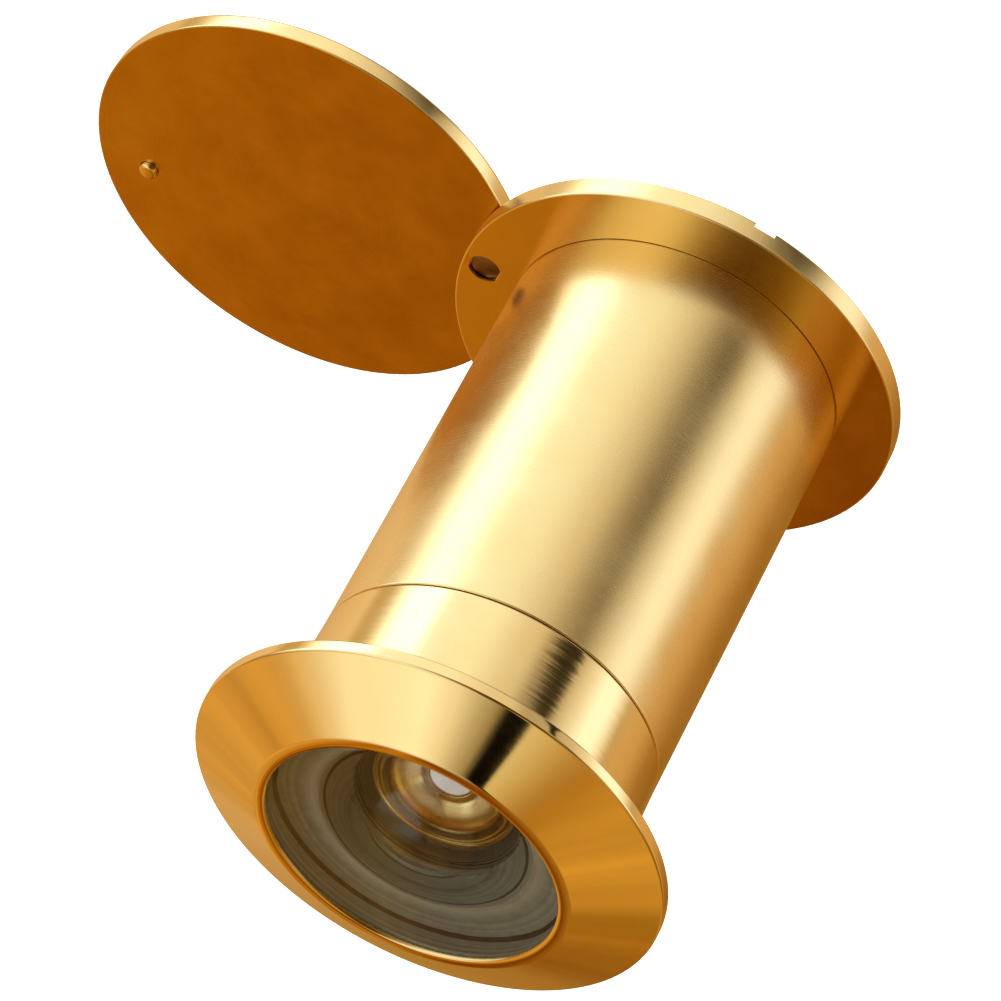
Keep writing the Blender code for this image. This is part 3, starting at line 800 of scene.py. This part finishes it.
def indoor_flange():
    low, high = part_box("indoor_flange")
    front, rear, rim = low.y, high.y, high.x
    seat_floor = front + TUBE_SEAT_DEPTH
    bore_floor = seat_floor + TENON_LENGTH
    tenon_bore = TENON_RADIUS + FIT
    edge = SOFT_EDGE
    corners = [
        (tenon_bore, seat_floor, 0),
        (TUBE_SEAT_RADIUS, seat_floor, 0),
        (TUBE_SEAT_RADIUS, front, edge / 4),
        (rim, front, edge),
        (rim, rear, edge),
        (WINDOW_RADIUS, rear, edge),
        (WINDOW_RADIUS, bore_floor, 0),
        (tenon_bore, bore_floor, 0),
    ]
    pivot = on_circle(PIVOT_RADIUS, PIVOT_ANGLE)
    dimple = on_circle(PEG_ARM - PIVOT_RADIUS, PIVOT_ANGLE + math.pi)
    tools = [
        bar(3 * rim, SLOT_WIDTH, rear - SLOT_DEPTH, rear + OVERSHOOT, SLOT_ANGLE),
        cylinder(FLANGE_HOLE_RADIUS, front - OVERSHOOT, rear + OVERSHOOT, *pivot),
        cylinder(TAIL_POCKET_RADIUS, front - OVERSHOOT, front + TAIL_POCKET_DEPTH, *pivot),
        cylinder(DIMPLE_RADIUS, rear - DIMPLE_DEPTH, rear + OVERSHOOT, *dimple),
    ]

    def zone(radius, height, outward):
        return int(outward > INWARD and radius > rim - edge)

    materials = [
        gold(
            "flange_gold", WARM_GOLD, WARM_GOLD_DEEP,
            roughness=0.15, lines=0.0004 * MM, along="radius", grain=0.0006 * MM,
        ),
        gold(
            "flange_rim_gold", PALE_GOLD, WARM_GOLD,
            roughness=0.24, lines=0.0006 * MM, along="height", grain=0.0006 * MM,
        ),
    ]
    bm = turned_ring(rounded(corners))
    place("indoor_flange", bm, materials, "indoor_unit", "polished_gold", tools=tools, zone=zone)


def eyepiece():
    low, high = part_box("eyepiece_lens")
    drop = sagitta(EYEPIECE_CURVE, EYEPIECE_DOME_RADIUS)
    front, rear = low.y + drop, high.y - drop
    front_dome = dome_points(EYEPIECE_CURVE, EYEPIECE_DOME_RADIUS, front, -1)
    rear_dome = dome_points(EYEPIECE_CURVE, EYEPIECE_DOME_RADIUS, rear, 1)
    profile = [*front_dome, (high.x, front), (high.x, rear), *reversed(rear_dome)]
    glass = lens_glass("eyepiece_glass", EYEPIECE_TINT)
    place("eyepiece_lens", turned_solid(profile), [glass], "eyepiece", "lens_glass")


def eyepiece_ring():
    low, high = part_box("eyepiece_ring")
    edge = SOFT_EDGE
    corners = [
        (RING_HOLE_RADIUS, low.y, edge),
        (EYEPIECE_BORE_RADIUS - FIT, low.y, 0),
        (EYEPIECE_BORE_RADIUS - FIT, high.y, edge / 2),
        (RING_HOLE_RADIUS, high.y, 2 * edge),
    ]
    floor = high.y - SPANNER_SLOT_DEPTH
    tools = [bar(4 * EYEPIECE_BORE_RADIUS, SPANNER_SLOT_WIDTH, floor, high.y + OVERSHOOT, SLOT_ANGLE)]
    material = gold(
        "ring_gold", RAW_BRASS, RAW_BRASS_DEEP,
        roughness=0.25, lines=0.001 * MM, along="both", grain=0.0005 * MM,
    )
    place(
        "eyepiece_ring",
        turned_ring(rounded(corners)),
        [material],
        "indoor_unit",
        "polished_gold",
        tools=tools,
    )


def rivet_matrix(height):
    """Local frame on the rivet's axis, at that height along the barrel."""
    return BARREL_AXIS @ Matrix.Translation((*on_circle(PIVOT_RADIUS, PIVOT_ANGLE), height))


def cover_matrix():
    """Local frame of the open cover: x runs from the pivot to its middle."""
    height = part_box("indoor_flange")[1].y + COVER_GAP
    turn = Matrix.Rotation(COVER_ANGLE, 4, "Z")
    lean = Matrix.Rotation(-COVER_LEAN, 4, "Y")
    return rivet_matrix(height) @ turn @ lean


def pivot_rivet():
    low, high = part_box("pivot_rivet")
    tail_front = TAIL_POCKET_DEPTH - FIT - TAIL_THICKNESS
    tail_rear = TAIL_POCKET_DEPTH - FIT
    head_rear = high.y - low.y + tail_front
    rim_height = head_rear - HEAD_HEIGHT
    head_front = rim_height - SOFT_EDGE
    curve = (HEAD_RADIUS**2 + HEAD_HEIGHT**2) / (2 * HEAD_HEIGHT)
    dome = dome_points(curve, HEAD_RADIUS, rim_height, 1, steps=RIVET_STEPS)
    tail_drop = 0.4 * TAIL_THICKNESS
    tail_curve = (TAIL_RADIUS**2 + tail_drop**2) / (2 * tail_drop)
    tail = dome_points(tail_curve, TAIL_RADIUS, tail_front + tail_drop, -1, steps=TAIL_STEPS)
    profile = [
        *tail,
        (TAIL_RADIUS, tail_rear),
        (SHANK_RADIUS, tail_rear),
        (SHANK_RADIUS, head_front),
        (HEAD_RADIUS, head_front),
        *reversed(dome),
    ]
    # Dull brass, darkened as painted shade of the pocket round the rivet's tail.
    material = gold(
        "rivet_gold", DULL_BRASS_WITH_POCKET_SHADE, DULL_BRASS_WITH_POCKET_SHADE_DEEP,
        roughness=0.4, lines=0.001 * MM, along="radius", grain=0.003 * MM,
    )
    matrix = rivet_matrix(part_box("indoor_flange")[0].y)
    bm = turned_solid(profile, SMALL_SIDES)
    place("pivot_rivet", bm, [material], "indoor_unit", "polished_gold", matrix)


def spring_washer():
    hole_radius = SHANK_RADIUS + 3 * FIT
    profile = [
        (hole_radius, WASHER_DISH),
        (WASHER_RADIUS, 0),
        (WASHER_RADIUS, WASHER_THICKNESS),
        (hole_radius, WASHER_DISH + WASHER_THICKNESS),
    ]
    matrix = rivet_matrix(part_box("indoor_flange")[1].y + FIT)
    bm = turned_ring(profile, SMALL_SIDES)
    place("spring_washer", bm, [spring_steel("washer_steel")], "indoor_unit", "spring_steel", matrix)


def cover():
    edge = SOFT_EDGE
    disc = [
        (0, 0, 0),
        (COVER_RADIUS, 0, edge),
        (COVER_RADIUS, COVER_THICKNESS, 2 * edge),
        (0, COVER_THICKNESS, 0),
    ]
    bm = turned_solid(rounded(disc))
    tools = [
        cylinder(COVER_HOLE_RADIUS, -OVERSHOOT, COVER_THICKNESS + OVERSHOOT, -COVER_ARM),
        cylinder(PEG_RADIUS + FIT, -OVERSHOOT, PEG_HOLE_DEPTH, PEG_ARM - COVER_ARM),
    ]

    # The face toward the flange gets the darker copy of the cover gold, as painted shade.
    def zone(radius, height, outward):
        return 1 if height < SOFT_EDGE / 4 else 0

    materials = [
        gold(
            "cover_gold", PALE_GOLD, WARM_GOLD,
            roughness=0.20, lines=0.0003 * MM, along="radius", grain=0.0010 * MM,
        ),
        gold(
            "cover_inner_gold_painted_shade", SHADED_COVER_GOLD, SHADED_COVER_GOLD_DEEP,
            roughness=0.22, lines=0.0001 * MM, along="radius", grain=0.0006 * MM,
        ),
    ]
    matrix = cover_matrix() @ Matrix.Translation((COVER_ARM, 0, 0))
    place("cover", bm, materials, "swing_cover", "polished_gold", matrix, tools, zone)


def cover_peg():
    edge = SOFT_EDGE
    pin = [
        (0, -PEG_HEIGHT, 0),
        (PEG_RADIUS, -PEG_HEIGHT, 2 * edge),
        (PEG_RADIUS, PEG_HOLE_DEPTH - FIT, 0),
        (0, PEG_HOLE_DEPTH - FIT, 0),
    ]
    material = gold(
        "peg_gold", WARM_GOLD, WARM_GOLD_DEEP,
        roughness=0.2, lines=0.001 * MM, along="both", grain=0.001 * MM,
    )
    matrix = cover_matrix() @ Matrix.Translation((PEG_ARM, 0, 0))
    bm = turned_solid(rounded(pin), SMALL_SIDES)
    place("cover_peg", bm, [material], "swing_cover", "polished_gold", matrix)


def pieces():
    outdoor_barrel()
    front_lens()
    plastic = moulded_plastic("front_spacer_plastic", PLASTIC_DARK, PLASTIC_LIGHT)
    spacer("front_spacer", FRONT_SPACER_HOLE, plastic, "grey_plastic")
    bowl_lens("second_lens", SECOND_BOWL_CURVE, SECOND_BOWL_RADIUS, ground=True)
    spacer("rear_spacer", REAR_SPACER_HOLE, bore_gold("rear_spacer_brass"), "satin_gold")
    bowl_lens("third_lens", THIRD_BOWL_CURVE, THIRD_BOWL_RADIUS, ground=False)
    indoor_barrel()
    indoor_flange()
    eyepiece()
    eyepiece_ring()
    pivot_rivet()
    spring_washer()
    cover()
    cover_peg()


# ---------------------------------------------------------------- studio

FLOOR_SIZE = 6.0
FLOOR_DROP = 0.10
FLOOR_GLOW = 1.0
FLOOR_WHITE = (0.90, 0.90, 0.90)
FLOOR_WHITER = (0.94, 0.94, 0.94)

CAMERA_PLACE = (0.08958, -0.19784, 0.29995)
CAMERA_FORWARD = (-0.2484, 0.5822, -0.7742)
CAMERA_RIGHT = (0.92, 0.392, 0.0)
CAMERA_LENS = 191.9
CAMERA_SENSOR = 36.0
NEAR_CLIP = 0.01
FAR_CLIP = 20.0

LIGHT_BOUNCES = 24
GLASS_BOUNCES = 20
METAL_BOUNCES = 8

# This isn't a plain studio light. The colours in the four tables below were worked out from the
# photograph's colours divided by the gold's, then adjusted over several renders.
# Light from behind and above the barrel, by its angle round the barrel: 0 is +X and 90 is up.
STRIP_SLANT = 0.17
RING_LIGHT = [
    (-180, (0.66, 0.50, 0.30)),
    (-172, (0.62, 0.42, 0.20)),
    (-164, (0.90, 0.68, 0.42)),
    (-150, (0.84, 0.60, 0.32)),
    (-135, (0.78, 0.52, 0.26)),
    (-115, (0.66, 0.40, 0.15)),
    (-104, (0.44, 0.22, 0.04)),
    (-75, (0.33, 0.15, 0.02)),
    (-55, (0.44, 0.22, 0.05)),
    (-38, (0.68, 0.42, 0.16)),
    (-26, (0.72, 0.47, 0.20)),
    (-17, (0.62, 0.46, 0.28)),
    (-12, (0.95, 0.90, 0.80)),
    (-5, (1.30, 1.40, 1.60)),
    (6, (1.30, 1.40, 1.60)),
    (15, (1.00, 1.00, 0.95)),
    (26, (0.72, 0.64, 0.52)),
    (36, (0.58, 0.50, 0.38)),
    (54, (0.52, 0.44, 0.33)),
    (62, (0.80, 0.72, 0.56)),
    (76, (0.90, 0.84, 0.72)),
    (88, (1.02, 1.02, 0.95)),
    (97, (1.08, 1.16, 1.10)),
    (122, (1.10, 1.20, 1.20)),
    (134, (1.20, 1.32, 1.50)),
    (142, (2.00, 2.40, 2.80)),
    (160, (2.00, 2.40, 2.80)),
    (168, (1.50, 1.70, 1.80)),
    (174, (1.00, 0.95, 0.80)),
    (180, (0.66, 0.50, 0.30)),
]
# The dark gap between two panels: its angle, its half width and how much more it opens towards the back.
GAP_ANGLE = math.radians(38.4)
GAP_HALF_WIDTH = math.radians(1.9)
GAP_OPENING = 3.2
GAP_BLUR = 0.02
GAP_SLANT = 0.42
GAP_LEVEL = 0.56
GAP_COLOUR = (0.03, 0.024, 0.012)
# Light from the front, by its X: low down and further up.
LOW_FRONT_LIGHT = [
    (-1.0, (0.60, 0.34, 0.10)),
    (-0.78, (0.68, 0.38, 0.09)),
    (-0.62, (0.74, 0.42, 0.10)),
    (-0.46, (0.66, 0.34, 0.06)),
    (-0.38, (0.60, 0.25, 0.02)),
    (-0.345, (0.50, 0.19, 0.006)),
    (-0.31, (0.43, 0.15, 0.002)),
    (-0.268, (0.54, 0.25, 0.02)),
    (-0.24, (0.40, 0.15, 0.004)),
    (-0.20, (0.22, 0.062, 0.0)),
    (-0.06, (0.28, 0.10, 0.01)),
    (0.25, (0.42, 0.20, 0.02)),
    (0.36, (0.68, 0.37, 0.06)),
    (0.42, (0.60, 0.32, 0.05)),
    (0.52, (0.34, 0.16, 0.01)),
    (1.0, (0.32, 0.15, 0.01)),
]
HIGH_FRONT_LIGHT = [
    (-1.0, (0.45, 0.26, 0.08)),
    (-0.74, (0.50, 0.30, 0.10)),
    (-0.62, (0.90, 0.74, 0.46)),
    (-0.50, (1.10, 1.08, 0.95)),
    (-0.22, (1.20, 1.25, 1.25)),
    (-0.12, (0.95, 0.92, 0.80)),
    (-0.05, (0.60, 0.54, 0.40)),
    (0.0, (0.40, 0.33, 0.19)),
    (0.035, (0.004, 0.003, 0.002)),
    (0.108, (0.004, 0.003, 0.002)),
    (0.11, (0.80, 0.70, 0.42)),
    (0.20, (0.66, 0.50, 0.22)),
    (0.30, (0.47, 0.22, 0.03)),
    (1.0, (0.55, 0.34, 0.12)),
]
# Light from the front above the horizon, by its angle round the barrel.
UPPER_FRONT_LIGHT = [
    (-180, (0.60, 0.54, 0.42)),
    (-160, (0.50, 0.38, 0.18)),
    (-130, (0.50, 0.32, 0.12)),
    (-95, (0.26, 0.11, 0.005)),
    (-60, (0.28, 0.12, 0.005)),
    (-28, (0.36, 0.19, 0.012)),
    (-14, (0.50, 0.36, 0.11)),
    (4, (0.56, 0.46, 0.18)),
    (18, (0.24, 0.15, 0.02)),
    (50, (0.10, 0.055, 0.003)),
    (72, (0.10, 0.045, 0.004)),
    (88, (0.24, 0.16, 0.04)),
    (102, (0.50, 0.46, 0.30)),
    (116, (0.95, 1.00, 1.05)),
    (134, (1.10, 1.20, 1.30)),
    (152, (1.00, 1.06, 1.15)),
    (168, (0.85, 0.88, 0.80)),
    (180, (0.60, 0.54, 0.42)),
]
UPPER_RISE = (0.0, 0.12)
# The glow straight behind the barrel, which the eyepiece shows.
REAR_GLOW = (0.62, 0.57, 0.56)
REAR_GLOW_EDGE = (0.78, 0.90)
FRONT_RISE = (-0.42, -0.12)
# Unevenness of the low front light, in stripes.
STRIPE_SCALE = 9.0
STRIPE_LEVELS = (0.84, 1.12)
FRONT_TO_BACK = (-0.10, 0.12)
# What the camera sees past the edge of the floor, in place of the light.
BACKDROP_WHITE = (1.0, 1.0, 1.0)


def gap_mask(tree, x, y, z):
    """1 inside the dark gap that runs along the barrel, above and to the right of it."""
    past = tree.math("SUBTRACT", y, GAP_LEVEL)
    sunk = tree.math("MULTIPLY", past, GAP_SLANT)
    raised = tree.math("SUBTRACT", tree.math("SUBTRACT", z, GAP_LEVEL * STRIP_SLANT), sunk)
    angle = tree.math("ARCTAN2", raised, x)
    away = tree.math("ABSOLUTE", tree.math("SUBTRACT", angle, GAP_ANGLE))
    opening = tree.math("MAXIMUM", tree.math("MULTIPLY", past, GAP_OPENING), 0.0)
    half = tree.math("ADD", opening, GAP_HALF_WIDTH)
    return tree.remap(tree.math("SUBTRACT", half, away), -GAP_BLUR, GAP_BLUR, smooth=True)


def spread(table, end):
    """Ramp stops from 0 to 1 for a table that runs from -end to end."""
    return [((place + end) / (2 * end), colour) for place, colour in table]


def softbox_world():
    """A light whose colour changes with direction, tuned to the photograph, with a narrow dark gap."""
    world = bpy.data.worlds.new("softboxes")
    world.use_nodes = True
    bpy.context.scene.world = world
    tree = NodeTree(world.node_tree)
    direction = tree.add("ShaderNodeTexCoord").outputs["Generated"]
    parts = tree.add("ShaderNodeSeparateXYZ")
    tree.feed(direction, parts.inputs[0])
    x, y, z = parts.outputs
    depth = tree.math("ABSOLUTE", y)
    raised = tree.math("SUBTRACT", z, tree.math("MULTIPLY", depth, STRIP_SLANT))
    angle = tree.math("ARCTAN2", raised, x)
    round_share = tree.remap(angle, -math.pi, math.pi)
    ring = tree.ramp(round_share, spread(RING_LIGHT, 180))
    ring = tree.mix(gap_mask(tree, x, y, z), ring, GAP_COLOUR)
    upper = tree.ramp(round_share, spread(UPPER_FRONT_LIGHT, 180))
    ring = tree.mix(tree.remap(y, *REAR_GLOW_EDGE, smooth=True), ring, REAR_GLOW)
    across = tree.remap(x, -1.0, 1.0)
    low = tree.ramp(across, spread(LOW_FRONT_LIGHT, 1))
    high = tree.ramp(across, spread(HIGH_FRONT_LIGHT, 1))
    uneven = tree.add("ShaderNodeVectorMath", operation="SCALE")
    tree.feed(low, uneven.inputs[0])
    stripes = tree.line_noise(tree.math("ARCTAN2", z, x), STRIPE_SCALE, detail=3.0)
    tree.feed(tree.remap(stripes, 0.3, 0.7, *STRIPE_LEVELS), uneven.inputs["Scale"])
    front = tree.mix(tree.remap(z, *FRONT_RISE, smooth=True), uneven.outputs[0], high)
    front = tree.mix(tree.remap(z, *UPPER_RISE, smooth=True), front, upper)
    light = tree.mix(tree.remap(y, *FRONT_TO_BACK, smooth=True), front, ring)
    seen_directly = tree.add("ShaderNodeLightPath").outputs["Is Camera Ray"]
    light = tree.mix(seen_directly, light, BACKDROP_WHITE)
    tree.feed(light, world.node_tree.nodes["Background"].inputs["Color"])


def pale_floor(bounds):
    """A pale sheet well below the object that gives its own light and isn't in any reflection."""
    low, high = bounds
    bm = bmesh.new()
    bmesh.ops.create_grid(bm, x_segments=1, y_segments=1, size=FLOOR_SIZE / 2)
    floor = new_object("floor", bm)
    floor.location = ((low.x + high.x) / 2, (low.y + high.y) / 2, low.z - FLOOR_DROP)
    material, tree, surface = new_material("floor_white")
    spot, _, _ = axis_coordinates(tree)
    grain = tree.noise(spot, FLOOR_GRAIN, detail=2.0)
    tree.feed(tree.mix(grain, FLOOR_WHITE, FLOOR_WHITER), surface["Base Color"])
    surface["Roughness"].default_value = 0.8
    surface["Emission Color"].default_value = (1.0, 1.0, 1.0, 1.0)
    surface["Emission Strength"].default_value = FLOOR_GLOW
    floor.data.materials.append(material)
    floor.visible_glossy = False
    floor.visible_transmission = False


def photo_camera():
    data = bpy.data.cameras.new("camera")
    data.lens = CAMERA_LENS
    data.sensor_width = CAMERA_SENSOR
    data.clip_start = NEAR_CLIP
    data.clip_end = FAR_CLIP
    camera = bpy.data.objects.new("camera", data)
    bpy.context.scene.collection.objects.link(camera)
    forward = Vector(CAMERA_FORWARD).normalized()
    right = Vector(CAMERA_RIGHT).normalized()
    up = right.cross(forward).normalized()
    right = forward.cross(up)
    turn = Matrix((right, up, -forward)).transposed()
    camera.matrix_world = Matrix.Translation(CAMERA_PLACE) @ turn.to_4x4()
    bpy.context.scene.camera = camera


def main():
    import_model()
    cad_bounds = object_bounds()
    pieces()
    softbox_world()
    pale_floor(cad_bounds)
    photo_camera()
    scene = bpy.context.scene
    scene.view_settings.view_transform = "Standard"
    scene.cycles.max_bounces = LIGHT_BOUNCES
    scene.cycles.transmission_bounces = GLASS_BOUNCES
    scene.cycles.glossy_bounces = METAL_BOUNCES


main()
